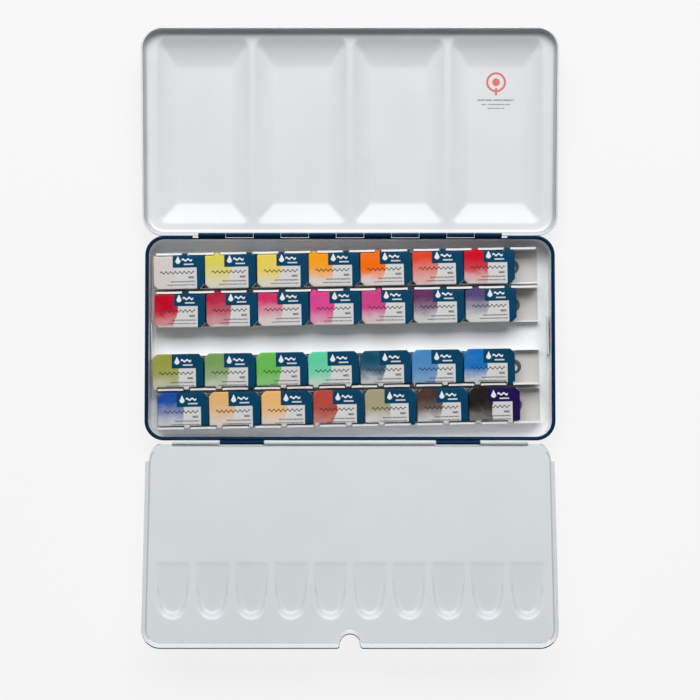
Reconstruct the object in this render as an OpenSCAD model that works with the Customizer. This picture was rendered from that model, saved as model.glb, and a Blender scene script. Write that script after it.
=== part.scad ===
// Watercolour pan set: a folding sheet-metal box with a hinged lid that holds four mixing wells,
// a hinged mixing leaf with ten thumb wells, and a lift-out tray with four rails of wrapped pans.
// Drawn open, as it is used: the lid lies back on +Y, the leaf lies forward on -Y.

/* [Base] */
// Width over the rolled rim, mm
base_w = 240.6; // [200:0.1:280]
// Depth over the rolled rim, mm
base_d = 120.3; // [90:0.1:160]
// Height of the base to the top of its rolled rim, mm
base_h = 16; // [12:0.1:25]
// Radius of the rolled rim's section, mm
bead_r = 1.1; // [0.8:0.05:1.6]
// Outer corner radius of the base wall, mm
base_r = 10; // [6:0.5:16]
// Sheet metal thickness, mm
sheet = 0.5; // [0.4:0.05:0.8]

/* [Lid] */
// Width over the lid's hem, mm
lid_w = 245; // [210:0.1:290]
// Reach of the lid from its hinge line to the front hem, mm
lid_reach = 121.7; // [100:0.1:160]
// Depth from the lid's rim to its flat margin, mm
lid_margin_depth = 5.3; // [4:0.1:9]
// Depth of the mixing wells below the margin, mm
lid_well_depth = 5; // [2:0.1:8]
// Spacing of the four mixing wells, mm
lid_well_pitch = 57.6; // [45:0.1:70]
// Outer corner radius of the lid wall, mm
lid_r = 12; // [8:0.5:18]
// How far short of flat the open lid rests, degrees
lid_rise = 5.5; // [0:0.1:20]

/* [Mixing leaf] */
// Width of the leaf over its lips, mm
leaf_w = 238.5; // [200:0.1:280]
// Reach of the leaf from its hinge line to its free edge, mm
leaf_reach = 118.3; // [90:0.1:150]
// Spacing of the ten thumb wells, mm
thumb_pitch = 22.6; // [18:0.1:28]
// Depth of the thumb wells at their front end, mm
thumb_depth = 2.2; // [1:0.1:3]
// Length of the thumb wells, mm
thumb_len = 32.3; // [20:0.1:45]
// How far short of flat the open leaf rests, degrees
leaf_rise = 8.7; // [0:0.1:20]

/* [Hinges] */
// Outer radius of the hinge knuckles, mm
knuckle_r = 1.3; // [1.1:0.05:1.8]
// Radius of the hinge pins, mm
pin_r = 0.6; // [0.4:0.05:0.8]
// Number of knuckles along the rear hinge
rear_knuckles = 11; // [5:2:15]
// Half length of the rear hinge, mm
rear_half = 89.3; // [60:0.1:100]

/* [Lift-out tray] */
// Half width of the tray's plate, mm
plate_half_w = 116.8; // [100:0.1:130]
// Half depth of the tray's plate, mm
plate_half_d = 55.2; // [40:0.1:70]
// Slight turn of the loose tray inside the base, degrees
tray_skew = 1; // [0:0.1:1.2]
// Length of the two finger tabs, mm
tab_len = 22.3; // [12:0.1:35]
// Height of the finger tabs above the base's floor, mm
tab_h = 8; // [4:0.1:12]

/* [Rails and pans] */
// Distance of the inner rails from the middle, mm
rail_inner = 18.3; // [14:0.1:24]
// Distance of the outer rails from the middle, mm
rail_outer = 41; // [36:0.1:46]
// Height of the springy outer wall above the base's floor, mm
spring_h = 11.4; // [8:0.1:13]
// Height of the low wall above the base's floor, mm
low_h = 6; // [4:0.1:9]
// Spacing of the spring tongues along a rail, mm
tongue_pitch = 19; // [12:0.1:30]
// Width of the slot between two tongues, mm
tongue_gap = 4; // [2:0.1:6]
// Spacing of the wrapped pans along a rail, mm
pan_pitch = 30.5; // [28:0.1:33]
// Length of a wrapped pan, mm
pan_len = 30; // [27:0.1:32]
// Height of a wrapped pan, mm
pan_h = 11; // [8:0.1:12]

/* [Hidden] */
$fn = 48;

// base: wall faces, rim centre
wall_hw = base_w / 2 - 1.5;
wall_hd = base_d / 2 - 1.5;
bead_z = base_h - bead_r;
floor_r = 1.1;

// hinge lines
rear_y = base_d / 2 + 0.15;
rear_z = base_h - 0.9;
front_y = -(base_d / 2 + 1.15);
front_z = base_h + 0.7;
bore_r = pin_r + 0.05;
knuckle_gap = 0.3;
rear_pitch = 2 * rear_half / rear_knuckles;
front_ends = [50.1, 76, 103.9];

// leaf, drawn shut
leaf_z = base_h + 1.5;
leaf_hw = leaf_w / 2;
leaf_front = front_y + leaf_reach;

// lid, drawn shut
lid_z = base_h + 2.35;
hem = 0.55;
lid_hw = lid_w / 2 - hem;
lid_y0 = rear_y - lid_reach + hem;
lid_y1 = rear_y - 0.1;
lid_mid = (lid_y0 + lid_y1) / 2;
lid_hd = (lid_y1 - lid_y0) / 2;
lid_top = lid_z + lid_margin_depth + sheet;
fillet = 2;

// lift-out tray
plate_z = sheet + 0.05;
rail_z = plate_z + sheet + 0.03;
rail_floor = 0.8;
rail_hw = 10.2;
rail_wall = 0.6;
rail_x0 = -115.4;
rail_x1 = 112;
bow_r = 250;
tongue_t = 1.2;
eyelet_x = [-97, 97];
eyelet_r = 4.4;
pan_z = rail_z + rail_floor + 0.05;

cream = [0.93, 0.94, 0.95];
navy = [0.04, 0.12, 0.25];
steel = [0.75, 0.76, 0.78];
paper = [0.97, 0.97, 0.96];

// a flat rounded rectangle
module rounded(hw, hd, r) {
  square([2 * (hw - r), 2 * hd], center = true);
  square([2 * hw, 2 * (hd - r)], center = true);
  for (x = [-1, 1], y = [-1, 1])
    translate([x * (hw - r), y * (hd - r)]) circle(r);
}

// carries a section round a rounded rectangle; the section's x is measured from the corner centre
module sweep(hw, hd, r) {
  cx = hw - r;
  cy = hd - r;
  px = [cx, -cx, -cx, cx];
  py = [cy, cy, -cy, -cy];
  for (k = [0:3])
    translate([px[k], py[k], 0]) rotate(90 * k) {
      rotate_extrude(angle = 90) children();
      rotate([90, 0, 0]) linear_extrude(k % 2 == 0 ? 2 * cy : 2 * cx) children();
    }
}

// a quarter ring: the bend between a wall and a floor
module bend(r, t) {
  intersection() {
    difference() {
      circle(r);
      circle(r - t);
    }
    square(r + 1);
  }
}

module tube_x(x0, x1, r) {
  translate([x0, 0, 0]) rotate([0, 90, 0]) cylinder(r = r, h = x1 - x0);
}

// ---------------------------------------------------------------- base

module base_tray() {
  rb = base_r;
  color(navy) difference() {
    union() {
      sweep(wall_hw, wall_hd, rb) {
        translate([rb - sheet, floor_r]) square([sheet, base_h - 0.4 - floor_r]);
        translate([rb + 0.4, bead_z]) circle(bead_r);
        translate([rb - floor_r, floor_r]) mirror([0, 1]) bend(floor_r, sheet);
      }
      linear_extrude(sheet)
        rounded(wall_hw - floor_r + 0.05, wall_hd - floor_r + 0.05, rb - floor_r + 0.05);
      base_knuckles_front();
    }
    translate([-rear_half - 3.2, wall_hd, bead_z - 1.5]) cube([2 * rear_half + 6.4, 4, 4]);
    front_bore(bore_r);
  }
  color(navy) difference() {
    base_knuckles_rear();
    rear_bore(bore_r);
  }
}

module rear_bore(r) {
  translate([0, rear_y, rear_z]) tube_x(-rear_half - 1, rear_half + 1, r);
}

module front_bore(r) {
  translate([0, front_y, front_z]) tube_x(-front_ends[2] - 1, front_ends[2] + 1, r);
}

module base_knuckles_rear() {
  for (i = [0:2:rear_knuckles - 1]) {
    x0 = -rear_half + i * rear_pitch + knuckle_gap / 2;
    x1 = x0 + rear_pitch - knuckle_gap;
    translate([0, rear_y, rear_z]) tube_x(x0, x1, knuckle_r);
    translate([x0, wall_hd - 0.2, rear_z - knuckle_r]) cube([x1 - x0, rear_y - wall_hd + 0.2, 0.5]);
  }
}

module base_knuckles_front() {
  for (s = [-1, 1]) {
    x0 = s > 0 ? front_ends[0] + 0.15 : -front_ends[1] + 0.15;
    x1 = s > 0 ? front_ends[1] - 0.15 : -front_ends[0] - 0.15;
    translate([0, front_y, front_z]) tube_x(x0, x1, knuckle_r);
    translate([x0, front_y + 0.35, base_h - 3.6]) cube([x1 - x0, 0.8, 3.4]);
    translate([x0, front_y + 0.35, base_h - 3.6]) cube([x1 - x0, -wall_hd - front_y - 0.15, 1.3]);
  }
}

// ---------------------------------------------------------------- lid

module lid() {
  color(navy) translate([0, rear_y, rear_z]) rotate([lid_rise - 180, 0, 0])
    translate([0, -rear_y, -rear_z]) difference() {
      union() {
        translate([0, lid_mid, 0]) lid_shell();
        lid_wells(0);
        lid_knuckles();
      }
      lid_wells(sheet);
      rear_bore(bore_r);
    }
}

module lid_shell() {
  rl = lid_r;
  sweep(lid_hw, lid_hd, rl) {
    translate([rl - sheet, lid_z]) square([sheet, lid_margin_depth + sheet - fillet - sheet + 0.02]);
    translate([rl - 0.1, lid_z]) square([hem + 0.1, 1.6]);
    translate([rl - fillet - sheet, lid_top - fillet - sheet]) bend(fillet + sheet, sheet);
  }
  translate([0, 0, lid_top - sheet]) linear_extrude(sheet)
    rounded(lid_hw - fillet - sheet + 0.05, lid_hd - fillet - sheet + 0.05, rl - fillet - sheet + 0.05);
}

// the four wells; grow by nothing for the outside, by the sheet for the hollow
module lid_wells(t) {
  for (i = [-1.5:1:1.5])
    translate([i * lid_well_pitch, 0, 0]) well(t);
}

// one well with sloping sides, its mouth in the margin and its floor above it when shut
module well(t) {
  g = t * 0.9;
  z0 = lid_top - sheet - (t > 0 ? 0.1 : 0);
  z1 = lid_top + lid_well_depth - t;
  mx = lid_well_pitch / 2 - 1.6 - g;
  my0 = rear_y - 115.9 + g;
  my1 = rear_y - 6.8 - g;
  fx = 16.4 - g;
  fy0 = rear_y - 99.5 + g;
  fy1 = rear_y - 19.3 - g;
  c = 4;
  k = 5;
  polyhedron(
    points = concat(corner_ring(mx, my0, my1, k, z0), corner_ring(fx, fy0, fy1, c, z1)),
    faces = concat([[0, 1, 2, 3, 4, 5, 6, 7]], [[15, 14, 13, 12, 11, 10, 9, 8]],
      [for (i = [0:7]) [i, i + 8, (i + 1) % 8 + 8]],
      [for (i = [0:7]) [i, (i + 1) % 8 + 8, (i + 1) % 8]]));
}

// eight points of a rectangle with cut corners, anticlockwise
function corner_ring(hx, y0, y1, c, z) = [
  [hx, y0 + c, z], [hx, y1 - c, z], [hx - c, y1, z], [-hx + c, y1, z],
  [-hx, y1 - c, z], [-hx, y0 + c, z], [-hx + c, y0, z], [hx - c, y0, z]];

module lid_knuckles() {
  for (i = [1:2:rear_knuckles - 2]) {
    x0 = -rear_half + i * rear_pitch + knuckle_gap / 2;
    x1 = x0 + rear_pitch - knuckle_gap;
    translate([0, rear_y, rear_z]) tube_x(x0, x1, knuckle_r);
    translate([x0, lid_y1 - sheet, rear_z + 0.9]) cube([x1 - x0, sheet, lid_z - rear_z - 0.7]);
  }
}

// ---------------------------------------------------------------- mixing leaf

module mixing_leaf() {
  color(cream) translate([0, front_y, front_z]) rotate([180 - leaf_rise, 0, 0])
    translate([0, -front_y, -front_z]) difference() {
      union() {
        leaf_sheet();
        leaf_knuckles();
        thumb_wells(0);
      }
      thumb_wells(sheet);
      front_bore(bore_r);
      leaf_edge_slots();
      finger_notch();
    }
}

module leaf_sheet() {
  r = 11;
  mid = (front_y + leaf_front) / 2;
  hd = leaf_reach / 2;
  difference() {
    translate([0, mid, 0]) sweep(leaf_hw, hd, r)
      polygon([[r - 3, leaf_z + sheet], [r - 1.95, leaf_z + sheet], [r, leaf_z - 0.6],
        [r, leaf_z - 1.1], [r - 0.15, leaf_z - 1.1], [r - 2.2, leaf_z], [r - 3, leaf_z]]);
    translate([-leaf_hw - 1, front_y - 2, leaf_z - 3]) cube([2 * leaf_hw + 2, 12.9, 6]);
  }
  translate([0, 0, leaf_z]) linear_extrude(sheet) {
    translate([0, mid]) intersection() {
      rounded(leaf_hw - 2.4, hd - 2.4, r - 2.4);
      translate([0, 10]) square([2 * leaf_hw, 2 * hd - 10], center = true);
    }
    translate([0, front_y + 20]) rounded(leaf_hw - 2.25, 20, 9);
  }
}

module leaf_knuckles() {
  for (e = [[-front_ends[0], front_ends[0]], [front_ends[1], front_ends[2]],
      [-front_ends[2], -front_ends[1]]])
    translate([0, front_y, front_z]) tube_x(e[0] + 0.15, e[1] - 0.15, knuckle_r);
}

// room round the base's knuckles, and the plain corners beside the hinge
module leaf_edge_slots() {
  for (s = [-1, 1]) {
    x0 = s > 0 ? front_ends[0] - 0.15 : -front_ends[1] - 0.15;
    translate([x0, front_y - 2, leaf_z - 0.2]) cube([front_ends[1] - front_ends[0] + 0.3, 3.6, 1]);
    x1 = s > 0 ? front_ends[2] - 0.15 : -leaf_hw - 1;
    translate([x1, front_y - 2, leaf_z - 0.2]) cube([leaf_hw + 1.15 - front_ends[2], 2.9, 1]);
  }
}

module thumb_wells(t) {
  for (i = [-4.5:1:4.5])
    translate([i * thumb_pitch, front_y + 69.7, leaf_z + sheet]) thumb_well(t);
}

// a U-shaped hollow, straight at the back and deepest at its rounded front end
module thumb_well(t) {
  r = 8.2 - t;
  w = 10.4 - t;
  y1 = thumb_len - t;
  over = t > 0 ? 1 : 0;
  intersection() {
    translate([0, 0, -sheet - over]) linear_extrude(thumb_depth + sheet + over + 1) {
      polygon([[-w, t], [w, t], [r, y1 - r], [-r, y1 - r]]);
      translate([0, y1 - r]) circle(r);
    }
    rotate([90, 0, 90]) linear_extrude(24, center = true)
      polygon([[-1, -sheet - over], [thumb_len + 1, -sheet - over], [thumb_len + 1, thumb_depth - t],
        [t * 3, -t], [-1, -t]]);
  }
}

module finger_notch() {
  translate([0, leaf_front - 2.2, leaf_z - 3]) {
    cylinder(r = 5.9, h = 6);
    translate([-5.9, 0, 0]) cube([11.8, 6, 6]);
  }
}

// ---------------------------------------------------------------- hinge pins

module rear_hinge_pin() {
  color(steel) translate([0, rear_y, rear_z]) tube_x(-rear_half, rear_half, pin_r);
}

module front_hinge_pin() {
  color(steel) translate([0, front_y, front_z]) tube_x(-front_ends[2] + 0.2, front_ends[2] - 0.2, pin_r);
}

// ---------------------------------------------------------------- lift-out tray

module insert_tray() {
  color(steel) rotate(tray_skew) {
    difference() {
      union() {
        translate([0, 0, plate_z]) linear_extrude(sheet) {
          rounded(plate_half_w, plate_half_d, 9);
          square([2 * plate_half_w + 1.2, tab_len], center = true);
        }
        for (s = [-1, 1])
          translate([s * (plate_half_w + 0.35) - sheet / 2, -tab_len / 2, plate_z])
            cube([sheet, tab_len, tab_h - plate_z]);
      }
      for (y = rail_rows(), x = eyelet_x)
        translate([x, y, 0]) cylinder(r = 3.25, h = 3);
    }
  }
}

function rail_rows() = [rail_outer, rail_inner, -rail_inner, -rail_outer];

// ---------------------------------------------------------------- rails

// the springy wall faces away from the middle of the box
module rail(n) {
  y = rail_rows()[n - 1];
  flip = y > 0 ? 0 : 1;
  color(steel) rotate(tray_skew) translate([0, y, rail_z]) mirror([0, flip, 0]) {
    difference() {
      translate([rail_x0, -rail_hw, 0]) cube([rail_x1 - rail_x0, 2 * rail_hw, rail_floor]);
      for (x = eyelet_x)
        translate([x, 0, -1]) {
          cylinder(r = 3.25, h = 3);
          translate([0, 0, 1.4]) cylinder(r = eyelet_r + 0.05, h = 1);
        }
    }
    translate([rail_x0, -rail_hw, 0]) cube([rail_x1 - rail_x0, rail_wall, low_h - rail_z]);
    translate([rail_x0, rail_hw - rail_wall, 0]) cube([rail_x1 - rail_x0, rail_wall, 3]);
    translate([0, 0, 2.9]) linear_extrude(spring_h - rail_z - 2.9) tongues();
  }
}

// twelve slightly bowed tongues seen from above
module tongues() {
  half = (tongue_pitch - tongue_gap) / 2;
  for (i = [0:11]) {
    x = rail_x0 + 1.9 + half + i * tongue_pitch;
    translate([x, rail_hw - rail_wall]) intersection() {
      translate([0, bow_r]) difference() {
        circle(bow_r);
        circle(bow_r - tongue_t);
      }
      translate([-half, -1]) square([2 * half, 3]);
    }
  }
}

module pan_rail_1() { rail(1); }
module pan_rail_2() { rail(2); }
module pan_rail_3() { rail(3); }
module pan_rail_4() { rail(4); }

// hollow eyelets that hold the rails to the tray, two to a rail
module rail_eyelets() {
  color(steel) rotate(tray_skew)
    for (y = rail_rows(), x = eyelet_x)
      translate([x, y, 0]) difference() {
        union() {
          translate([0, 0, plate_z + 0.05]) cylinder(r = 3.2, h = rail_z + 0.45 - plate_z);
          translate([0, 0, rail_z + 0.43]) cylinder(r = eyelet_r, h = 0.35);
        }
        cylinder(r = 2.7, h = 4);
      }
}

// ---------------------------------------------------------------- pans

row_x0 = [-115.2, -114.9, -116.4, -113.9];

// where a pan's middle lies along its rail, with a little play
function pan_x(n) = row_x0[floor((n - 1) / 7)] + 15.1 + pan_pitch * ((n - 1) % 7) + 0.1 * sin(n * 137);

paints = [[0.95, 0.94, 0.9], [0.97, 0.93, 0.35], [0.98, 0.84, 0.05], [0.98, 0.7, 0.05],
  [0.95, 0.45, 0.08], [0.9, 0.27, 0.12], [0.8, 0.1, 0.12], [0.85, 0.08, 0.15],
  [0.75, 0.1, 0.25], [0.9, 0.4, 0.55], [0.8, 0.15, 0.5], [0.65, 0.1, 0.45],
  [0.4, 0.12, 0.45], [0.25, 0.15, 0.5], [0.35, 0.4, 0.1], [0.25, 0.45, 0.15],
  [0.15, 0.6, 0.2], [0.05, 0.5, 0.35], [0.05, 0.4, 0.4], [0.1, 0.5, 0.7],
  [0.05, 0.3, 0.65], [0.1, 0.15, 0.55], [0.8, 0.65, 0.35], [0.8, 0.5, 0.15],
  [0.55, 0.22, 0.12], [0.82, 0.72, 0.55], [0.35, 0.2, 0.12], [0.18, 0.1, 0.12]];

// one wrapped pan: paper sleeve, plastic cup and block of paint
module pan(n) {
  row = floor((n - 1) / 7);
  y = rail_rows()[row];
  flip = y > 0 ? 0 : 1;
  rotate(tray_skew) translate([pan_x(n), y, pan_z]) rotate(0.35 * sin(n * 83)) mirror([0, flip, 0]) {
    color(paper) wrapper();
    color([0.9, 0.9, 0.92]) cup();
    color(paints[n - 1]) translate([-13, -7.2, 1.8]) cube([26, 15.1, 7.8]);
  }
}

// the sleeve is straight against the springy wall and leans out over the low wall
module wrapper() {
  difference() {
    wrap_block(pan_len, 0);
    wrap_block(pan_len - 0.5, 0.25);
    translate([-pan_len / 2 + 1, -1, -1]) cube([pan_len - 2, 2, 2]);
  }
}

module wrap_block(len, t) {
  c = 2.7;
  intersection() {
    rotate([90, 0, 90]) linear_extrude(len, center = true)
      polygon([[-9.2 + t, t], [9.1 - t, t], [9.1 - t, pan_h - 0.4 - t / 2], [8.7 - t, pan_h - t],
        [-10 + t, pan_h - t], [-10.6 + t, pan_h - 0.6 - t / 2], [-9.4 + t, 4.2]]);
    linear_extrude(pan_h + 1)
      polygon([[-len / 2, 12], [-len / 2, -10.6 + c + t], [-len / 2 + c, -10.6 + t],
        [len / 2 - c, -10.6 + t], [len / 2, -10.6 + c + t], [len / 2, 12]]);
  }
}

module cup() {
  difference() {
    translate([-14, -8.1, 0.3]) cube([28, 16.9, 9.9]);
    translate([-13.1, -7.3, 1.7]) cube([26.2, 15.3, 10]);
  }
}

module pan_01() { pan(1); }
module pan_02() { pan(2); }
module pan_03() { pan(3); }
module pan_04() { pan(4); }
module pan_05() { pan(5); }
module pan_06() { pan(6); }
module pan_07() { pan(7); }
module pan_08() { pan(8); }
module pan_09() { pan(9); }
module pan_10() { pan(10); }
module pan_11() { pan(11); }
module pan_12() { pan(12); }
module pan_13() { pan(13); }
module pan_14() { pan(14); }
module pan_15() { pan(15); }
module pan_16() { pan(16); }
module pan_17() { pan(17); }
module pan_18() { pan(18); }
module pan_19() { pan(19); }
module pan_20() { pan(20); }
module pan_21() { pan(21); }
module pan_22() { pan(22); }
module pan_23() { pan(23); }
module pan_24() { pan(24); }
module pan_25() { pan(25); }
module pan_26() { pan(26); }
module pan_27() { pan(27); }
module pan_28() { pan(28); }

base_tray();
lid();
mixing_leaf();
rear_hinge_pin();
front_hinge_pin();
insert_tray();
pan_rail_1();
pan_rail_2();
pan_rail_3();
pan_rail_4();
rail_eyelets();
pan_01();
pan_02();
pan_03();
pan_04();
pan_05();
pan_06();
pan_07();
pan_08();
pan_09();
pan_10();
pan_11();
pan_12();
pan_13();
pan_14();
pan_15();
pan_16();
pan_17();
pan_18();
pan_19();
pan_20();
pan_21();
pan_22();
pan_23();
pan_24();
pan_25();
pan_26();
pan_27();
pan_28();
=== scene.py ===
"""Looks of the watercolour pan set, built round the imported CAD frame."""
import bpy
import math
import random
from mathutils import Matrix, Vector


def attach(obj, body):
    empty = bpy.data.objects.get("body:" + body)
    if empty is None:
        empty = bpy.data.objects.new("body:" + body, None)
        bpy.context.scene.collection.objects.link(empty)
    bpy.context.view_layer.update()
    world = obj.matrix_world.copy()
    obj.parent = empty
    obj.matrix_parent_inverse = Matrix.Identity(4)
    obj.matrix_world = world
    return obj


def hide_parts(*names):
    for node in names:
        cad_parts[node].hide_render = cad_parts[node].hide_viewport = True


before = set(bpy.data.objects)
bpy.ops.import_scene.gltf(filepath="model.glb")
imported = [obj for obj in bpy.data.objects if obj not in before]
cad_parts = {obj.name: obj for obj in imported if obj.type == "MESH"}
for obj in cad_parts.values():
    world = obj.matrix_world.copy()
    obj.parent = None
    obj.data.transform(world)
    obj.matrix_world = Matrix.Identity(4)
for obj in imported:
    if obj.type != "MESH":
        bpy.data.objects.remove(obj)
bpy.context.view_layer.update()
MM = 0.001

# ------------------------------------------------------------------ dimensions, mm, as in part.scad
SHEET = 0.5
REAR_Y, REAR_Z = 60.3, 15.1
FRONT_Y, FRONT_Z = -61.3, 16.7
LID_RISE, LEAF_RISE = 5.5, 8.7
KNUCKLE_R, BORE_R, KNUCKLE_GAP = 1.3, 0.65, 0.15
REAR_HALF, REAR_N = 89.3, 11
FRONT_ENDS = (50.1, 76.0, 103.9)

LID_Z = 18.35
LID_HW = 121.95
LID_Y0, LID_Y1 = -60.85, 60.2
LID_R = 12.0
LID_TOP = 24.15
WELL_PITCH, WELL_DEPTH = 57.6, 5.0

LEAF_Z = 17.5
LEAF_HW = 119.25
LEAF_REACH = 118.3
LEAF_R = 11.0

TRAY_SKEW = math.radians(1.0)
RAIL_ROWS = (41.0, 18.3, -18.3, -41.0)
ROW_X0 = (-115.2, -114.9, -116.4, -113.9)
PAN_PITCH, PAN_LEN, PAN_H, PAN_Z = 30.5, 30.0, 11.0, 1.93
NOTCH_X0, NOTCH_PITCH = -96.5, 19.0

# each pan's paint: colour, and how much of it is left half way down and at the foot of the brushed patch
PAINTS = [
    (0.69, 0.65, 0.62, 1.00, 1.00), (0.76, 0.66, 0.10, 0.80, 0.30), (0.84, 0.65, 0.10, 0.95, 0.25),
    (0.97, 0.36, 0.003, 0.95, 0.10), (0.97, 0.165, 0.003, 1.00, 0.15), (0.80, 0.055, 0.015, 0.78, 0.40),
    (0.65, 0.003, 0.020, 0.95, 0.35),
    (0.56, 0.001, 0.022, 1.00, 0.60), (0.50, 0.009, 0.055, 0.88, 0.55), (0.67, 0.02, 0.13, 0.65, 0.10),
    (0.74, 0.063, 0.29, 1.00, 0.60), (0.64, 0.06, 0.25, 1.00, 0.30), (0.13, 0.027, 0.114, 0.82, 0.15),
    (0.08, 0.055, 0.19, 0.65, 0.05),
    (0.33, 0.35, 0.055, 0.95, 0.45), (0.20, 0.35, 0.11, 0.90, 0.35), (0.15, 0.52, 0.09, 1.00, 0.80),
    (0.12, 0.66, 0.38, 0.92, 0.30), (0.001, 0.08, 0.14, 0.95, 0.20), (0.07, 0.26, 0.56, 0.97, 0.75),
    (0.004, 0.17, 0.52, 1.00, 0.20),
    (0.002, 0.07, 0.37, 0.70, 0.15), (0.82, 0.47, 0.18, 0.82, 0.25), (0.87, 0.49, 0.17, 0.86, 0.25),
    (0.48, 0.07, 0.045, 1.00, 0.75), (0.40, 0.36, 0.22, 1.00, 0.10), (0.07, 0.034, 0.024, 0.90, 0.15),
    (0.017, 0.012, 0.010, 1.00, 0.75)]


# ------------------------------------------------------------------ shader helpers
class Shader:
    """A material's nodes, with short names for the arithmetic."""

    def __init__(self, name):
        self.mat = bpy.data.materials.new(name)
        self.mat.use_nodes = True
        self.tree = self.mat.node_tree
        self.bsdf = self.tree.nodes["Principled BSDF"]

    def node(self, kind, **props):
        n = self.tree.nodes.new(kind)
        for k, v in props.items():
            setattr(n, k, v)
        return n

    def put(self, socket, value):
        if isinstance(value, bpy.types.NodeSocket):
            self.tree.links.new(value, socket)
        else:
            socket.default_value = value

    def math(self, op, a, b=0.0):
        n = self.node("ShaderNodeMath", operation=op)
        for s, v in zip(n.inputs, (a, b)):
            self.put(s, v)
        return n.outputs[0]

    def add(self, a, b):
        return self.math("ADD", a, b)

    def sub(self, a, b):
        return self.math("SUBTRACT", a, b)

    def mul(self, a, b):
        return self.math("MULTIPLY", a, b)

    def most(self, a, b):
        return self.math("MAXIMUM", a, b)

    def least(self, a, b):
        return self.math("MINIMUM", a, b)

    def ramp(self, x, lo, hi, a=0.0, b=1.0):
        n = self.node("ShaderNodeMapRange", interpolation_type="SMOOTHSTEP")
        for s, v in zip(n.inputs, (x, lo, hi, a, b)):
            self.put(s, v)
        return n.outputs[0]

    def band(self, x, lo, hi, soft):
        """1 between lo and hi, with soft edges."""
        return self.mul(self.past(x, lo, soft), self.short_of(x, hi, soft))

    def past(self, x, edge, soft):
        """1 beyond the edge."""
        return self.ramp(x, edge - soft, edge + soft)

    def short_of(self, x, edge, soft):
        """1 before the edge."""
        return self.ramp(x, edge - soft, edge + soft, 1.0, 0.0)

    def length(self, a, b):
        return self.math("SQRT", self.add(self.mul(a, a), self.mul(b, b)))

    def mix(self, fac, a, b):
        n = self.node("ShaderNodeMix", data_type="RGBA")
        self.put(n.inputs[0], fac)
        self.put(n.inputs[6], a)
        self.put(n.inputs[7], b)
        return n.outputs[2]

    def coords(self):
        return self.node("ShaderNodeTexCoord").outputs["Object"]

    def long_grain(self, p):
        """Fine grain that runs along X."""
        m = self.node("ShaderNodeMapping")
        self.put(m.inputs["Vector"], p)
        m.inputs["Scale"].default_value = (18.0, 900.0, 900.0)
        return self.noise(m.outputs[0], 1.0, 3.0)

    def split(self, vector):
        n = self.node("ShaderNodeSeparateXYZ")
        self.put(n.inputs[0], vector)
        return n.outputs

    def noise(self, vector, scale, detail=3.0, rough=0.55):
        n = self.node("ShaderNodeTexNoise")
        self.put(n.inputs["Vector"], vector)
        n.inputs["Scale"].default_value = scale
        n.inputs["Detail"].default_value = detail
        n.inputs["Roughness"].default_value = rough
        return n.outputs[0]

    def bump(self, height, distance, strength=1.0):
        n = self.node("ShaderNodeBump")
        n.inputs["Strength"].default_value = strength
        n.inputs["Distance"].default_value = distance
        self.put(n.inputs["Height"], height)
        self.put(self.bsdf.inputs["Normal"], n.outputs[0])

    def set(self, **values):
        for k, v in values.items():
            self.put(self.bsdf.inputs[k.replace("_", " ")], v)


def orange_peel(s, p):
    """The wide and fine unevenness of sprayed enamel, set as a bump. Returns both noises."""
    wide = s.noise(p, 22.0, 2.0)
    fine = s.noise(p, 900.0, 2.0)
    s.bump(s.add(s.mul(wide, 0.6), s.mul(fine, 0.06)), 0.00006, 0.12)
    return wide, fine


def enamel(name, dark, light, rough, coat, shine=0.35, mark=None):
    """Sprayed and stoved enamel on sheet metal: a faint orange peel and slightly uneven gloss."""
    s = Shader(name)
    p = s.coords()
    wide = orange_peel(s, p)[0]
    colour = s.mix(s.ramp(wide, 0.3, 0.7), dark, light)
    if mark:
        colour = mark(s, p, colour)
    s.set(Base_Color=colour,
          Roughness=s.ramp(s.noise(p, 60.0, 4.0), 0.3, 0.75, rough - 0.01, rough + 0.02),
          Specular_IOR_Level=shine, Coat_Weight=coat, Coat_Roughness=0.12)
    return s.mat


def lid_mark(s, p, colour):
    """A generic printed mark in the right-hand well: ring, dot and short tail over three broken bars."""
    mark_x, mark_y, ring_up, soft = 0.0866, 0.1473, 4.5, 0.15
    x, y = s.split(p)[:2]
    u, v = s.mul(s.sub(x, mark_x), 1000.0), s.mul(s.sub(y, mark_y), 1000.0)
    ball = s.length(u, s.sub(v, ring_up))
    ring = s.band(ball, 4.6, 5.9, soft)
    dot = s.ramp(ball, 2.1, 2.5, 1.0, 0.0)
    tail = s.mul(s.band(s.math("ABSOLUTE", u), -1.0, 0.7, soft), s.band(v, -3.2, 1.0, soft))
    coral = s.most(ring, s.most(dot, tail))
    bars = 0.0
    # half width, foot and top of each bar, mm
    for half, low, high in ((5.0, -11.2, -10.5), (8.5, -9.0, -8.2), (11.0, -6.6, -5.5)):
        bars = s.most(s.mul(s.band(u, -half, half, 0.2), s.band(v, low, high, soft)), bars)
    grey = s.mul(bars, s.ramp(s.noise(p, 1100.0, 1.0), 0.36, 0.44))
    colour = s.mix(s.mul(coral, 0.85), colour, (0.80, 0.10, 0.07, 1))
    return s.mix(s.mul(grey, 0.6), colour, (0.10, 0.11, 0.12, 1))


def tinplate(name, dark, light, metal):
    """Bare rolled tinplate with faint lengthwise grain."""
    s = Shader(name)
    p = s.coords()
    grain = s.long_grain(p)
    cloud = s.noise(p, 35.0, 3.0)
    s.set(Base_Color=s.mix(s.ramp(s.add(s.mul(grain, 0.5), s.mul(cloud, 0.5)), 0.3, 0.7), dark, light),
          Metallic=metal, Roughness=s.ramp(cloud, 0.3, 0.7, 0.30, 0.42))
    s.bump(grain, 0.00002, 0.3)
    return s.mat


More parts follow.
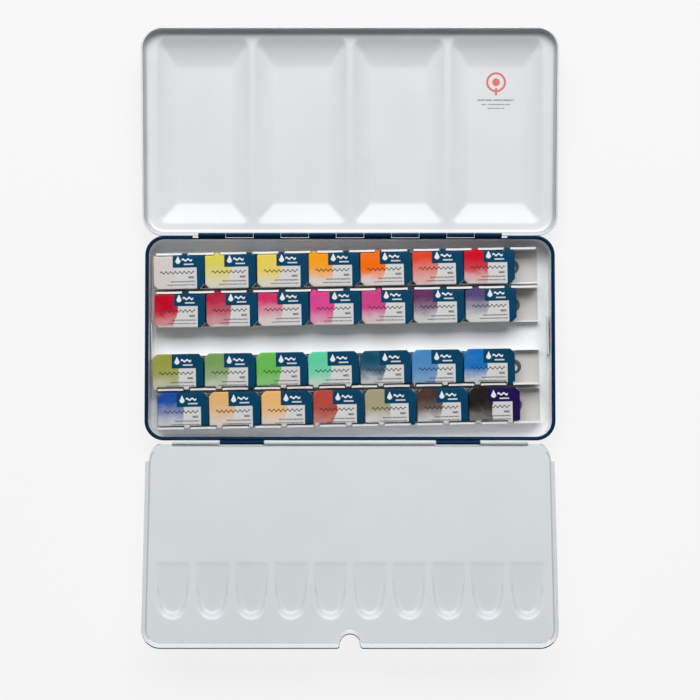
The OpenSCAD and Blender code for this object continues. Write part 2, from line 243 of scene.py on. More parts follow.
def base_enamel():
    """Dark blue outside and over the rolled rim, pale inside: told apart by the distance from the wall."""
    s = Shader("base_two_tone")
    p = s.coords()
    x, y, z = s.split(p)[:3]
    # distance from the rounded rectangle of the wall, in metres, negative inside
    half_x, half_y, corner = 0.1188, 0.05865, 0.010
    qx = s.sub(s.math("ABSOLUTE", x), half_x - corner)
    qy = s.sub(s.math("ABSOLUTE", y), half_y - corner)
    outside = s.length(s.most(qx, 0.0), s.most(qy, 0.0))
    dist = s.sub(s.add(outside, s.least(s.most(qx, qy), 0.0)), corner)
    inside = s.mul(s.ramp(dist, -0.00042, -0.00034, 1.0, 0.0), s.ramp(z, 0.00025, 0.0003))
    below_rim = s.ramp(z, 0.0139, 0.0141, 1.0, 0.0)
    white = s.mul(inside, below_rim)
    wide, fine = orange_peel(s, p)
    navy = s.mix(wide, (0.002, 0.021, 0.062, 1), (0.004, 0.032, 0.085, 1))
    pale = s.mix(wide, (0.93, 0.94, 0.95, 1), (0.96, 0.97, 0.98, 1))
    s.set(Base_Color=s.mix(white, navy, pale), Roughness=s.ramp(fine, 0.3, 0.7, 0.24, 0.32),
          Specular_IOR_Level=0.04)
    return s.mat


# places on the sleeve's face, as parts of its width from the left (u) and of its depth from the top (t)
FACE_ASPECT = 0.667
PANEL_LEFT, PANEL_FOOT, STRIP_LEFT = 0.382, 0.401, 0.85
DROP_U, DROP_T, DROP_RISE = 0.485, 0.215, 0.11
STROKE_T, RIPPLE_T = 0.175, 0.545
SOFT = 0.004
PRINT_WHITE = (0.84, 0.86, 0.87, 1)
PAPER_EDGE = (0.84, 0.85, 0.85, 1)
PRINT_GREY = (0.035, 0.035, 0.045, 1)
PURPLE_PAN = 28


def brushed_patch(s, u, t, wob, cloud, paint, seed):
    """How much paint shows: a patch on the left, strongest at the top, with an uneven right edge."""
    rng = random.Random(seed)
    edge = 0.46 + 0.06 * rng.random()
    narrow = 0.10 * rng.random()
    right = s.add(s.sub(edge, s.mul(s.ramp(t, 0.45, 1.0), narrow)), s.mul(wob, 0.10))
    patch = s.ramp(s.sub(right, u), -0.006, 0.012)
    half_way, foot_left = paint[3:]
    down = s.add(t, s.mul(wob, 0.4))
    upper_fade = s.ramp(down, 0.22, 0.52, 1.0, half_way)
    lower_fade = s.ramp(down, 0.50, 0.92, 1.0, foot_left / half_way)
    fade = s.mul(s.mul(upper_fade, lower_fade), s.ramp(cloud, 0.2, 0.6, 0.96, 1.0))
    foot = s.ramp(s.add(t, s.mul(wob, 0.25)), 0.93, 0.99, 1.0, 0.35)
    return s.mul(patch, s.mul(fade, foot))


def panel_print(s, u, t):
    """Generic white print on the dark panel: a drop, a wavy stroke and a bar."""
    dx, dy = s.sub(u, DROP_U), s.mul(s.sub(t, DROP_T), FACE_ASPECT)
    ball = s.length(dx, dy)
    tip = s.add(s.math("ABSOLUTE", dx), s.mul(s.add(dy, DROP_RISE), -0.46))
    tip = s.most(tip, s.sub(dy, 0.01))
    cone = s.mul(s.ramp(tip, -SOFT, SOFT, 1.0, 0.0), s.ramp(dy, -0.108, -0.104))
    drop = s.most(s.ramp(ball, 0.043, 0.050, 1.0, 0.0), cone)
    wave = s.add(STROKE_T, s.mul(s.math("SINE", s.mul(u, 62.0)), 0.024))
    stroke = s.mul(s.band(u, 0.56, 0.765, SOFT), s.band(s.sub(t, wave), -0.026, 0.026, 0.010))
    bar = s.mul(s.band(u, 0.60, 0.79, SOFT), s.band(t, 0.285, 0.325, 0.006))
    return s.most(drop, s.most(stroke, s.mul(bar, 0.8)))


def small_print(s, u, t, grain):
    """Generic grey print on the pale part: an even wavy line, a short bar and two ruled lines."""
    ripple = s.add(RIPPLE_T, s.mul(s.math("SINE", s.mul(u, 70.0)), 0.030))
    off_line = s.math("ABSOLUTE", s.sub(t, ripple))
    wavy = s.mul(s.ramp(off_line, 0.012, 0.024, 1.0, 0.0), s.band(u, 0.13, 0.80, 0.01))
    broken = s.ramp(grain, 0.40, 0.5)
    bar = s.mul(s.band(u, 0.685, 0.80, 0.003), s.band(t, 0.660, 0.725, 0.008))
    row1 = s.mul(s.band(u, 0.34, 0.82, SOFT), s.band(t, 0.795, 0.835, 0.008))
    row2 = s.mul(s.band(u, 0.27, 0.82, SOFT), s.band(t, 0.895, 0.930, 0.008))
    ruled = s.most(s.mul(bar, 0.9), s.mul(s.most(row1, row2), 0.8))
    return s.most(s.mul(wavy, 0.95), s.mul(ruled, broken))


def label(name, paint, seed, flip):
    """The printed paper sleeve, laid out on the pan's own UV map: u to the right and v up."""
    s = Shader(name)
    uv = s.node("ShaderNodeUVMap", uv_map="print").outputs[0]
    u, v = s.split(uv)[:2]
    t = s.sub(1.0, v)
    shifted = s.node("ShaderNodeVectorMath", operation="ADD")
    s.put(shifted.inputs[0], uv)
    shifted.inputs[1].default_value = (seed * 3.7, seed * 1.9, 0)
    wob = s.sub(s.noise(shifted.outputs[0], 5.0, 4.0, 0.6), 0.5)
    cloud = s.noise(shifted.outputs[0], 2.5, 3.0, 0.5)
    grain = s.noise(uv, 55.0, 2.0)
    paper = s.mix(cloud, (0.68, 0.675, 0.665, 1), (0.72, 0.715, 0.71, 1))
    colour = s.mix(brushed_patch(s, u, t, wob, cloud, paint, seed), paper, (*paint[:3], 1))
    # plain straight-sided dark panel: a block across the top and a strip down the right
    across = s.mul(s.past(u, PANEL_LEFT, SOFT), s.short_of(t, PANEL_FOOT, 0.006))
    panel = s.most(across, s.past(u, STRIP_LEFT, SOFT))
    ink = s.mix(cloud, (0.0008, 0.044, 0.105, 1), (0.0015, 0.070, 0.150, 1))
    if seed == PURPLE_PAN:
        ink = s.mix(cloud, (0.012, 0.004, 0.07, 1), (0.02, 0.008, 0.10, 1))
    colour = s.mix(panel, colour, ink)
    colour = s.mix(panel_print(s, u, t), colour, PRINT_WHITE)
    colour = s.mix(s.mul(small_print(s, u, t, grain), s.sub(1.0, panel)), colour, PRINT_GREY)
    # paper edge showing white along the folded corners
    corner = s.sub(s.math("ABSOLUTE", s.sub(u, 0.5)), 0.5)
    side = s.sub(s.mul(s.sub(t, 0.5), flip), 0.53)
    fold = s.add(corner, s.mul(side, FACE_ASPECT))
    colour = s.mix(s.mul(s.ramp(fold, -0.098, -0.088), 0.9), colour, PAPER_EDGE)
    s.set(Base_Color=colour, Roughness=s.ramp(grain, 0.3, 0.7, 0.40, 0.50), Specular_IOR_Level=0.06)
    s.bump(s.add(s.mul(s.noise(s.coords(), 260.0, 3.0), 0.7), s.mul(wob, 0.4)), 0.0001, 0.35)
    return s.mat


def rail_steel():
    """The rails' tinplate, one sheet with painted light: the floor painted dull and warm as painted shade,
    the walls and their tops painted bright as a painted highlight.
    """
    s = Shader("rail_steel")
    p = s.coords()
    z = s.split(p)[2]
    grain = s.long_grain(p)
    shaded_floor_tone = s.mix(grain, (0.56, 0.545, 0.515, 1), (0.62, 0.605, 0.575, 1))
    lit_top_tone = s.mix(grain, (0.90, 0.91, 0.92, 1), (0.96, 0.96, 0.97, 1))
    # painted light by height: painted shade on the floor, painted highlight from 3 to 5 mm up
    s.set(Base_Color=s.mix(s.ramp(z, 0.0030, 0.0050), shaded_floor_tone, lit_top_tone),
          Roughness=s.ramp(grain, 0.3, 0.7, 0.34, 0.42))
    s.bump(grain, 0.00002, 0.3)
    return s.mat


WHITE = enamel("white_enamel", (0.80, 0.82, 0.84, 1), (0.83, 0.85, 0.87, 1), 0.30, 0.1, mark=lid_mark)
# painted shade: the same white enamel as the lid, painted darker on the leaf and its knuckles
LEAF_SHADED_WHITE = enamel("leaf_enamel", (0.70, 0.735, 0.76, 1), (0.72, 0.755, 0.78, 1), 0.30, 0.1)
# painted shade: the white enamel painted darker on the lid's upright wall
WALL_SHADE = enamel("lid_wall_painted_shade", (0.55, 0.59, 0.585, 1), (0.59, 0.63, 0.625, 1), 0.34, 0.0)
# painted shade: a darker line in the crease of the leaf's lip
CREASE_SHADE = enamel("leaf_crease_painted_shade", (0.48, 0.50, 0.52, 1), (0.50, 0.52, 0.54, 1), 0.40, 0.0)
# painted shade: near black on the leaf's last rings along the front edge and beside the hinge
EDGE_SHADE = enamel("edge_painted_shade", (0.045, 0.048, 0.05, 1), (0.06, 0.062, 0.065, 1), 0.40, 0.0)
NAVY = enamel("navy_enamel", (0.002, 0.021, 0.062, 1), (0.004, 0.032, 0.085, 1), 0.26, 0.0, 0.07)
TIN = tinplate("tinplate", (0.86, 0.88, 0.90, 1), (0.93, 0.95, 0.96, 1), 0.0)
RAIL = rail_steel()
# painted reflection: the plated eyelets painted near black for the dark reflections they show
EYELET_REFLECTION = tinplate("eyelet_painted_reflection", (0.06, 0.06, 0.065, 1), (0.14, 0.14, 0.145, 1), 0.3)
STEEL = tinplate("pin_steel", (0.50, 0.51, 0.52, 1), (0.62, 0.62, 0.63, 1), 0.5)


# ------------------------------------------------------------------ mesh helpers
def build(name, verts, faces, mats, index=None, body=None, smooth=35.0, to=None, uvs=None):
    """Makes one piece from points in mm, its faces and their material numbers."""
    me = bpy.data.meshes.new(name)
    pts = [Vector(v) for v in verts]
    if to is not None:
        pts = [to @ p for p in pts]
    me.from_pydata([p * MM for p in pts], [], faces)
    for m in mats:
        me.materials.append(m)
    if index:
        me.polygons.foreach_set("material_index", index)
    if uvs:
        me.uv_layers.new(name="print")
        flat = [c for loop in me.loops for c in uvs[loop.vertex_index]]
        me.uv_layers["print"].data.foreach_set("uv", flat)
    me.polygons.foreach_set("use_smooth", [True] * len(me.polygons))
    me.update()
    me.set_sharp_from_angle(angle=math.radians(smooth))
    ob = bpy.data.objects.new(name, me)
    bpy.context.scene.collection.objects.link(ob)
    if body:
        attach(ob, body)
    return ob


def ring_points(k_x, k_y, rings, cx, cy, sx, sy):
    """Place of a grid point in the bent zone of a pressed sheet: its distances in rings along x and y."""
    m = max(k_x, k_y)
    rho = rings[m][0]
    if k_y == 0:
        return sx * (cx + rho), None
    if k_x == 0:
        return None, sy * (cy + rho)
    f = min(k_x, k_y) / m
    a = f * math.pi / 4 if k_x >= k_y else math.pi / 2 - f * math.pi / 4
    return sx * (cx + rho * math.cos(a)), sy * (cy + rho * math.sin(a))


def pressed_sheet(cx, cy, mid, xs, ys, top, under, shape, pick):
    """A closed pressed sheet over a rounded rectangle, both faces on one grid, meeting at the last ring.

    xs, ys: grid lines of the flat middle; top, under: (distance from the corner centre, height) ring by ring.
    shape(x, y, z, ring, upper) gives each point its last form. Returns points, faces and face numbers."""
    n = len(top) - 1

    def across(places):
        """Side, ring and place of each grid line: the bent zone, the flat middle and the bent zone again."""
        before = [(-1, k, None) for k in range(n, 0, -1)]
        after = [(1, k, None) for k in range(1, n + 1)]
        return before + [(0, 0, place) for place in places] + after

    gx, gy = across(xs), across(ys)
    verts, faces, index = [], [], []
    ids = ({}, {})
    for side, rings in ((0, top), (1, under)):
        for i, (sx, kx, xv) in enumerate(gx):
            for j, (sy, ky, yv) in enumerate(gy):
                ring = max(kx, ky)
                if side == 1 and ring == n:
                    ids[1][i, j] = ids[0][i, j]
                    continue
                px, py = (xv, yv) if ring == 0 else ring_points(kx, ky, rings, cx, cy, sx, sy)
                px = xv if px is None else px
                py = yv if py is None else py
                ids[side][i, j] = len(verts)
                verts.append(shape(px, py + mid, rings[ring][1], ring, side == 0))
    for side in (0, 1):
        g = ids[side]
        for i in range(len(gx) - 1):
            for j in range(len(gy) - 1):
                q = [g[i, j], g[i + 1, j], g[i + 1, j + 1], g[i, j + 1]]
                ring = max(gx[i][1], gx[i + 1][1], gy[j][1], gy[j + 1][1])
                faces.append(q if side == 1 else q[::-1])
                on_end = max(gx[i][1], gx[i + 1][1]) > max(gy[j][1], gy[j + 1][1])
                index.append(pick(ring, on_end, side == 0))
    return verts, faces, index


def lines(lo, hi, step, extra=()):
    n = max(1, round((hi - lo) / step))
    out = [lo + (hi - lo) * i / n for i in range(n + 1)]
    for e in extra:
        if lo < e < hi:
            out = [v for v in out if abs(v - e) > step * 0.25 or v in (lo, hi)] + [e]
    return sorted(out)


def smooth01(t):
    t = min(1.0, max(0.0, t))
    return t * t * (3 - 2 * t)


def tube(x0, x1, y, z, ro, ri, n=28, seam=None):
    """A short tube along X, open at both ends; seam leaves the curl of the sheet showing as a fine groove."""
    verts, faces = [], []
    prof = [(x0, ri), (x0, ro - 0.12), (x0 + 0.12, ro), (x1 - 0.12, ro), (x1, ro - 0.12), (x1, ri)]
    for a in range(n):
        ang = 2 * math.pi * a / n
        for x, r in prof:
            cut = 0.0
            if seam is not None and r == ro and abs((ang - seam + math.pi) % (2 * math.pi) - math.pi) < 0.12:
                cut = 0.16
            verts.append((x, y + (r - cut) * math.cos(ang), z + (r - cut) * math.sin(ang)))
    m = len(prof)
    for a in range(n):
        b = (a + 1) % n
        for i in range(m):
            j = (i + 1) % m
            faces.append([a * m + i, a * m + j, b * m + j, b * m + i])
    return verts, faces


def block(lo, hi):
    (x0, y0, z0), (x1, y1, z1) = lo, hi
    v = [(x, y, z) for x in (x0, x1) for y in (y0, y1) for z in (z0, z1)]
    f = [[0, 1, 3, 2], [4, 6, 7, 5], [0, 4, 5, 1], [2, 3, 7, 6], [0, 2, 6, 4], [1, 5, 7, 3]]
    return v, f


def joined(parts):
    verts, faces = [], []
    for v, f in parts:
        n = len(verts)
        verts += v
        faces += [[i + n for i in q] for q in f]
    return verts, faces


def about_x(y, z, degrees):
    c = Matrix.Translation((0, y, z))
    return c @ Matrix.Rotation(math.radians(degrees), 4, "X") @ c.inverted()


# ------------------------------------------------------------------ lid
to_lid = about_x(REAR_Y, REAR_Z, LID_RISE - 180)
lid_mid, lid_hd = (LID_Y0 + LID_Y1) / 2, (LID_Y1 - LID_Y0) / 2
WELL_MX = WELL_PITCH / 2 - 1.6
WELL_Y = (REAR_Y - 115.9, REAR_Y - 6.8)
FLOOR_X, FLOOR_Y = 16.4, (REAR_Y - 99.5, REAR_Y - 19.3)
MOUTH_ROUND, RIDGE_SOFT = 0.42, 0.06
HINGE_SHALLOWER = 1.8
INNER_FILLET, OUTER_FILLET = 3.2, 2.5
# rings of the pressed sheet, counted out from its flat middle
LID_FLAT_RINGS = 14
LID_WALL_RINGS = range(13, 20)


def soft_step(t, k):
    """0 below 0 and 1 above 1, straight between, with both bends rounded."""
    def soft(x):
        return 0.0 if x <= -k else x if x >= k else (x + k) ** 2 / (4 * k)
    return soft(t) - soft(t - 1)


def well_height(x, y):
    """How far the sheet is pressed away from the lid's margin here."""
    well = max(-1.5, min(1.5, round(x / WELL_PITCH - 0.5) + 0.5))
    dx = abs(x - well * WELL_PITCH)
    tx = (WELL_MX - dx) / (WELL_MX - FLOOR_X)
    t0 = (y - WELL_Y[0]) / (FLOOR_Y[0] - WELL_Y[0])
    t1 = (WELL_Y[1] - y) / (WELL_Y[1] - FLOOR_Y[1])
    # round the four corners of the mouth
    ty = min(t0, t1)
    if tx < MOUTH_ROUND and ty < MOUTH_ROUND:
        e = MOUTH_ROUND - math.hypot(MOUTH_ROUND - tx, MOUTH_ROUND - ty)
    else:
        e = min(tx, ty)
    # soften the ridge where two slopes meet
    apart = abs(tx - ty)
    if apart < RIDGE_SOFT and e >= MOUTH_ROUND:
        e = min(tx, ty) - (RIDGE_SOFT - apart) ** 2 / (4 * RIDGE_SOFT)
    rise = soft_step(e, 0.04)
    # the floor lies a little shallower towards the hinge, and the slopes curve less there
    along = min(1.0, max(0.0, (FLOOR_Y[1] - y) / (FLOOR_Y[1] - FLOOR_Y[0])))
    curl = 0.10 + 0.48 * along
    return (WELL_DEPTH - HINGE_SHALLOWER * (1.0 - along)) * rise * (1.0 + curl - curl * rise)


def lid_material(ring, on_end, upper):
    """White inside, the upright wall painted darker as painted shade, blue outside."""
    if not upper:
        return 1
    return 2 if ring in LID_WALL_RINGS else 0


def fillet(start, height, radius, angles):
    """A quarter turn from a flat at this height down into the wall, start out from the corner centre."""
    return [(start + radius * math.sin(math.radians(a)), height - radius + radius * math.cos(math.radians(a)))
            for a in angles]


def lid_sheet():
    r = LID_R
    zi = LID_TOP - SHEET
    top = [(0.0, zi)] + [(8.1 * i / 9, zi) for i in range(1, 10)]
    top += fillet(8.3, zi, INNER_FILLET, (0, 15, 30, 45, 60, 75, 90))
    top += [(11.5, LID_Z + 1.9), (11.5, LID_Z + 0.35), (11.56, LID_Z + 0.15), (11.7, LID_Z + 0.03),
            (12.0, LID_Z), (12.3, LID_Z + 0.03), (12.46, LID_Z + 0.14), (12.54, LID_Z + 0.35)]
    under = [(0.0, LID_TOP)] + [(9.2 * i / 9, LID_TOP) for i in range(1, 10)]
    under += fillet(9.5, LID_TOP, OUTER_FILLET, (0, 20, 40, 60, 80, 90))
    under += [(12.0, LID_Z + 2.6), (12.0, LID_Z + 1.75), (12.08, LID_Z + 1.66), (12.3, LID_Z + 1.6),
              (12.48, LID_Z + 1.5), (12.55, LID_Z + 1.3), (12.55, LID_Z + 1.0875),
              (12.55, LID_Z + 0.875), top[-1]]

    def shape(x, y, z, ring, upper):
        return (x, y, z + (well_height(x, y) if ring < LID_FLAT_RINGS else 0.0))

    cx, cy = LID_HW - r, lid_hd - r
    xs = lines(-cx, cx, 0.9)
    ys = lines(-cy, cy, 0.9)
    return pressed_sheet(cx, cy, lid_mid, xs, ys, top, under, shape, lid_material)


verts, faces, index = lid_sheet()
lid = build("lid_shell", verts, faces, [WHITE, NAVY, WALL_SHADE], index, "lid_body", 40, to_lid)
parts = []
pitch = 2 * REAR_HALF / REAR_N
for i in range(1, REAR_N - 1, 2):
    x0 = -REAR_HALF + i * pitch + KNUCKLE_GAP
    x1 = x0 + pitch - 2 * KNUCKLE_GAP
    parts.append(tube(x0, x1, REAR_Y, REAR_Z, KNUCKLE_R, BORE_R, seam=math.radians(150)))
    parts.append(block((x0, LID_Y1 - SHEET, REAR_Z + 0.95), (x1, LID_Y1, LID_Z + 0.35)))
verts, faces = joined(parts)
build("lid_knuckles", verts, faces, [NAVY], None, "lid_body", 35, to_lid)
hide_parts("lid")

# ------------------------------------------------------------------ mixing leaf
to_leaf = about_x(FRONT_Y, FRONT_Z, 180 - LEAF_RISE)
LEAF_MID = FRONT_Y + LEAF_REACH / 2
LEAF_HD = LEAF_REACH / 2
LIP_FROM = FRONT_Y + 10.9
LEAF_FLAT_RINGS = 7
THUMB_PITCH, THUMB_Y = 22.6, FRONT_Y + 69.7
THUMB_STRAIGHT, THUMB_BACK, THUMB_ROUND = 24.0, 10.6, 8.4
NOTCH_HALF, NOTCH_BEND, NOTCH_IN, NOTCH_R = 5.6, 2.0, 2.2, 5.75


def thumb_depth(x, y):
    """Depth of the thumb wells: a ramp down from a straight back edge to a rounded front end."""
    well = max(-4.5, min(4.5, round(x / THUMB_PITCH - 0.5) + 0.5))
    dx = x - well * THUMB_PITCH
    w = y - THUMB_Y
    if w < -1 or w > 34:
        return 0.0
    # distance in from the U's outline
    if w < THUMB_STRAIGHT:
        half = THUMB_BACK - (THUMB_BACK - THUMB_ROUND) * min(1.0, max(0.0, w / THUMB_STRAIGHT))
        e = half - abs(dx)
    else:
        e = THUMB_ROUND - math.hypot(dx, w - THUMB_STRAIGHT)
    ramp = min(1.0, max(0.0, (w - 0.3) / 26.0))
    deep = 2.1 * (0.12 + 0.88 * ramp) * smooth01((w + 0.8) / 2.0)
    wall = 1.6 + 3.4 * smooth01((w - 16) / 14)
    return deep * smooth01(e / wall)


def notch_in(x):
    """How far the leaf's free edge is cut back for a finger."""
    a = abs(x)
    if a >= NOTCH_HALF + NOTCH_BEND:
        return 0.0
    if a > NOTCH_HALF:
        out = (NOTCH_HALF + NOTCH_BEND - a) / NOTCH_BEND
        return NOTCH_IN * (1 - math.sqrt(max(0.0, 1 - out ** 2)))
    return NOTCH_IN + math.sqrt(max(0.0, NOTCH_R ** 2 - a * a)) + 0.1


def leaf_material(ring, on_end, upper):
    """The leaf's painted shade: a darker line in the crease of the lip along the sides, and near black on the
    last rings along the front and beside the hinge.
    """
    if upper and on_end and 8 <= ring <= 9:
        return 1
    # painted shade: the last rings along the front and beside the hinge
    return 2 if not on_end and ring >= 12 else 0


def hinge_edge(x):
    """Where the leaf's edge runs along the hinge: set back beside the base's knuckles."""
    a = abs(x)
    if FRONT_ENDS[0] - KNUCKLE_GAP <= a <= FRONT_ENDS[1] + KNUCKLE_GAP:
        return FRONT_Y + 1.6
    if a >= FRONT_ENDS[2] - KNUCKLE_GAP:
        return FRONT_Y + 0.9
    return FRONT_Y


def beside_hinge(x, y, ring, last, flat):
    """The plain cut edge beside the hinge: the rings close up on the flat panel's rounded outline."""
    if ring >= LEAF_FLAT_RINGS:
        half, r, from_hinge = LEAF_HW - 2.25, 9.0, 0.9
        limit = half
        if y < FRONT_Y + r:
            round_y = FRONT_Y + r - max(y, FRONT_Y + from_hinge)
            limit = half - r + math.sqrt(r * r - min(round_y, r - from_hinge) ** 2)
        if abs(x) > limit - 0.3:
            closed = (ring - LEAF_FLAT_RINGS) / (last - LEAF_FLAT_RINGS)
            x = math.copysign(min(abs(x), limit - 0.02 * (1 - closed)), x)
        flat = flat if ring < last else LEAF_Z + SHEET / 2
    return x, max(y, hinge_edge(x)), flat


def leaf_sheet():
    r = LEAF_R
    top = [(0.0, LEAF_Z)] + [(7.6 * i / 6, LEAF_Z) for i in range(1, 7)]
    top += [(7.95, LEAF_Z + 0.06), (8.3, LEAF_Z + 0.02), (8.8, LEAF_Z - 0.22), (10.1, LEAF_Z - 0.98),
            (10.35, LEAF_Z - 1.08), (10.6, LEAF_Z - 1.02), (10.82, LEAF_Z - 0.78), (10.95, LEAF_Z - 0.4)]
    under = [(0.0, LEAF_Z + SHEET)] + [(7.6 * i / 6, LEAF_Z + SHEET) for i in range(1, 7)]
    under += [(8.2, LEAF_Z + 0.5), (8.6, LEAF_Z + 0.48), (9.0, LEAF_Z + 0.35), (10.0, LEAF_Z - 0.2),
              (10.3, LEAF_Z - 0.35), (10.6, LEAF_Z - 0.4), (10.85, LEAF_Z - 0.3), top[-1]]
    last = len(top) - 1
    free_edge = LEAF_MID + LEAF_HD
    cx, cy = LEAF_HW - r, LEAF_HD - r

    def shape(x, y, z, ring, upper):
        if y < LIP_FROM:
            flat = LEAF_Z if upper else LEAF_Z + SHEET
            x, y, flat = beside_hinge(x, y, ring, last, flat)
            z = flat if ring >= LEAF_FLAT_RINGS else z
        if ring < LEAF_FLAT_RINGS:
            z += thumb_depth(x, y)
        y -= notch_in(x) * smooth01((y - (free_edge - 24)) / 22.0)
        return (x, y, z)

    # extra grid lines at the steps of the hinge edge and round the finger notch
    marks = []
    for m in (FRONT_ENDS[0] - KNUCKLE_GAP, FRONT_ENDS[1] + KNUCKLE_GAP, FRONT_ENDS[2] - KNUCKLE_GAP):
        marks += [-m - 0.01, -m + 0.01, m - 0.01, m + 0.01]
    notch_marks = [5.3, 5.55, 5.7, 6.0, 6.4, 6.8, 7.2, 7.6]
    marks += [-m for m in reversed(notch_marks)] + notch_marks
    xs = lines(-cx, cx, 0.8, marks)
    ys = lines(-cy, cy, 0.8, (LIP_FROM - LEAF_MID - 0.01, LIP_FROM - LEAF_MID + 0.01))
    return pressed_sheet(cx, cy, LEAF_MID, xs, ys, top, under, shape, leaf_material)


verts, faces, index = leaf_sheet()
leaf = build("leaf_panel", verts, faces, [LEAF_SHADED_WHITE, CREASE_SHADE, EDGE_SHADE], index, "leaf", 40, to_leaf)
parts = []
near, mid_out, far = FRONT_ENDS
for a, b in ((-near, near), (mid_out, far), (-far, -mid_out)):
    parts.append(tube(a + KNUCKLE_GAP, b - KNUCKLE_GAP, FRONT_Y, FRONT_Z, KNUCKLE_R, BORE_R,
                      seam=math.radians(-60)))
verts, faces = joined(parts)
build("leaf_knuckles", verts, faces, [LEAF_SHADED_WHITE], None, "leaf", 35, to_leaf)
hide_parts("mixing_leaf")


# ------------------------------------------------------------------ wrapped pans
PAN_BACK, PAN_FRONT, PAN_CUT = 9.05, 9.3, 2.7
SLOT_STEP, SLOT_POINTS = 0.25, 113
PRINT_W, PRINT_D, PRINT_MID, PRINT_TOP = 30.0, 20.0, 9.9, 10.5


def pan_outline(inset, lean, notch, centre_x):
    """Plan of the sleeve at one height: straight at the springy wall, cut corners towards the middle."""
    hl = PAN_LEN / 2 - inset
    y1 = PAN_BACK - inset
    y0 = -(PAN_FRONT + lean) + inset
    c = PAN_CUT
    pts = [(-hl, y1 - 0.5), (-hl + 0.5, y1)]
    for i in range(SLOT_POINTS):
        x = (-14 + SLOT_STEP * i) * hl / (PAN_LEN / 2)
        g = centre_x + x
        k = round((g - NOTCH_X0) / NOTCH_PITCH)
        d = abs(g - (NOTCH_X0 + k * NOTCH_PITCH))
        bulge = notch * smooth01((1.75 - d) / 0.55)
        pts.append((x, y1 + bulge))
    pts += [(hl - 0.5, y1), (hl, y1 - 0.5)]
    pts += [(hl, 3.0), (hl, -3.0), (hl, y0 + c), (hl - 0.25, y0 + c - 0.45), (hl - c + 0.45, y0 + 0.25),
            (hl - c, y0)]
    pts += [(hl * 0.5, y0 - 0.05), (0.0, y0), (-hl * 0.5, y0 - 0.05)]
    pts += [(-hl + c, y0), (-hl + c - 0.45, y0 + 0.25), (-hl + 0.25, y0 + c - 0.45)]
    pts += [(-hl, y0 + c), (-hl, -3.0), (-hl, 3.0)]
    return pts


def pan(n):
    """One wrapped pan in its place on its rail, a touch out of line and turned, as in the photo."""
    row, place = divmod(n - 1, 7)
    along = ROW_X0[row] + 15.1 + PAN_PITCH * place + 0.1 * math.sin(math.radians(n * 137))
    y = RAIL_ROWS[row]
    flip = 1 if y > 0 else -1
    turn = math.radians(0.35 * math.sin(math.radians(n * 83)))
    to = (Matrix.Rotation(TRAY_SKEW, 4, "Z") @ Matrix.Translation((along, y, PAN_Z))
          @ Matrix.Rotation(turn, 4, "Z"))
    # height, inset, lean over the low wall, bulge through the slots
    levels = [(0.0, 0.25, -0.1, 0.0), (4.2, 0.05, 0.0, 0.0), (7.2, 0.02, 0.6, 0.9), (9.6, 0.0, 1.2, 1.5),
              (10.45, 0.04, 1.3, 1.5), (10.78, 0.22, 1.3, 1.4), (10.92, 0.5, 1.3, 0.9),
              (10.96, 1.1, 1.3, 0.3), (10.98, 2.4, 1.3, 0.0)]
    verts, faces, uvs, loops = [], [], [], []
    for z, inset, lean, notch in levels:
        pts = pan_outline(inset, lean, notch, along)
        loops.append((len(verts), len(pts)))
        for px, py in pts:
            wy = py * flip
            verts.append((px, wy, z))
            # the print wraps over the edge onto the sides
            over = max(0.0, PRINT_TOP - z) if abs(py) > 8.5 else 0.0
            wrapped = wy + (over if wy > 0 else -over)
            uvs.append(((px + PRINT_W / 2) / PRINT_W, (wrapped + PRINT_MID) / PRINT_D))
    cap = loops[-1]
    for (a, m), (b, _) in zip(loops, loops[1:]):
        for i in range(m):
            j = (i + 1) % m
            q = [a + i, b + i, b + j, a + j]
            faces.append(q if flip > 0 else q[::-1])
    middle = len(verts)
    verts.append((0.0, -flip, PAN_H))
    uvs.append((0.5, (PRINT_MID - flip) / PRINT_D))
    for i in range(cap[1]):
        q = [cap[0] + i, middle, cap[0] + (i + 1) % cap[1]]
        faces.append(q if flip > 0 else q[::-1])
    bottom = list(range(loops[0][1]))
    faces.append(bottom if flip > 0 else bottom[::-1])
    mat = label("label_%02d" % n, PAINTS[n - 1], n, flip)
    name = "wrapped_pan_%02d" % n
    ob = build(name, verts, faces, [mat], None, name, 38, to, uvs)
    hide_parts("pan_%02d" % n)


for number in range(1, 29):
    pan(number)

# ------------------------------------------------------------------ CAD nodes that stay as they are
kept_looks = {"base_tray": base_enamel(), "insert_tray": TIN, "rail_eyelets": EYELET_REFLECTION,
              "rear_hinge_pin": STEEL, "front_hinge_pin": STEEL}
for row in range(1, 5):
    kept_looks["pan_rail_%d" % row] = RAIL
for node, mat in kept_looks.items():
    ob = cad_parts[node]
    ob.data.materials.clear()
    ob.data.materials.append(mat)
    ob.data.set_sharp_from_angle(angle=math.radians(30))

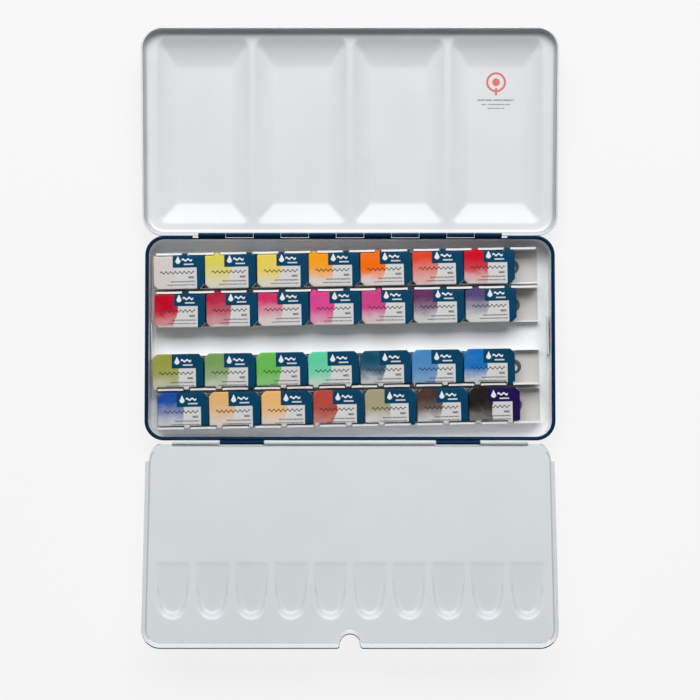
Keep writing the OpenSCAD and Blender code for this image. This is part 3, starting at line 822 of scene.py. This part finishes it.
# ------------------------------------------------------------------ stage, light and camera
floor_mesh = bpy.data.meshes.new("floor")
floor_mesh.from_pydata([(-4, -4, 0), (4, -4, 0), (4, 4, 0), (-4, 4, 0)], [], [[0, 1, 2, 3]])
floor = bpy.data.objects.new("floor", floor_mesh)
bpy.context.scene.collection.objects.link(floor)
paper = Shader("floor_paper")
paper_tone = paper.mix(paper.noise(paper.coords(), 3.0), (0.10, 0.10, 0.101, 1), (0.11, 0.11, 0.111, 1))
paper.set(Base_Color=paper_tone, Roughness=0.9, Specular_IOR_Level=0.1, Emission_Color=(1, 1, 1, 1),
          Emission_Strength=0.83)
floor_mesh.materials.append(paper.mat)

# the world lights the scene faintly and shows bright to the camera
WORLD_LIGHT, WORLD_SEEN = 0.13, 0.9
world = bpy.data.worlds.new("studio")
bpy.context.scene.world = world
world.use_nodes = True
backdrop = world.node_tree.nodes["Background"]
backdrop.inputs[0].default_value = (1.0, 1.0, 1.0, 1)
seen = world.node_tree.nodes.new("ShaderNodeMapRange")
path = world.node_tree.nodes.new("ShaderNodeLightPath")
world.node_tree.links.new(path.outputs["Is Camera Ray"], seen.inputs[0])
seen.inputs[3].default_value, seen.inputs[4].default_value = WORLD_LIGHT, WORLD_SEEN
world.node_tree.links.new(seen.outputs[0], backdrop.inputs[1])


def softbox(name, place, size, power):
    """A soft rectangular lamp aimed at the middle of the box."""
    data = bpy.data.lights.new(name, "AREA")
    data.shape = "RECTANGLE"
    data.size, data.size_y = size
    data.energy = power
    ob = bpy.data.objects.new(name, data)
    ob.location = place
    ob.rotation_euler = (Vector() - Vector(place)).to_track_quat("-Z", "Y").to_euler()
    bpy.context.scene.collection.objects.link(ob)


softbox("key_back", (0.0, 1.32, 1.66), (2.4, 1.2), 52.0)
softbox("fill_top", (0.2, -0.5, 2.2), (1.6, 1.2), 1.0)

# SCALE is the mm that one of the picture's PICTURE columns covers at height AIM_Z, DISTANCE away
SCALE, PICTURE, AIM_Y, AIM_Z = 0.5861, 700, -7.19, 15.0
DISTANCE, TILT, SENSOR = 900.0, math.radians(2.09), 36.0
cam_data = bpy.data.cameras.new("camera")
cam_data.sensor_width = SENSOR
cam_data.lens = DISTANCE / SCALE / PICTURE * SENSOR
cam_data.clip_start, cam_data.clip_end = 0.01, 20
cam = bpy.data.objects.new("camera", cam_data)
cam.location = Vector((0, AIM_Y - DISTANCE * math.sin(TILT), AIM_Z + DISTANCE * math.cos(TILT))) * MM
cam.rotation_euler = (TILT, 0, 0)
bpy.context.scene.collection.objects.link(cam)
bpy.context.scene.camera = cam
bpy.context.scene.view_settings.view_transform = "Standard"
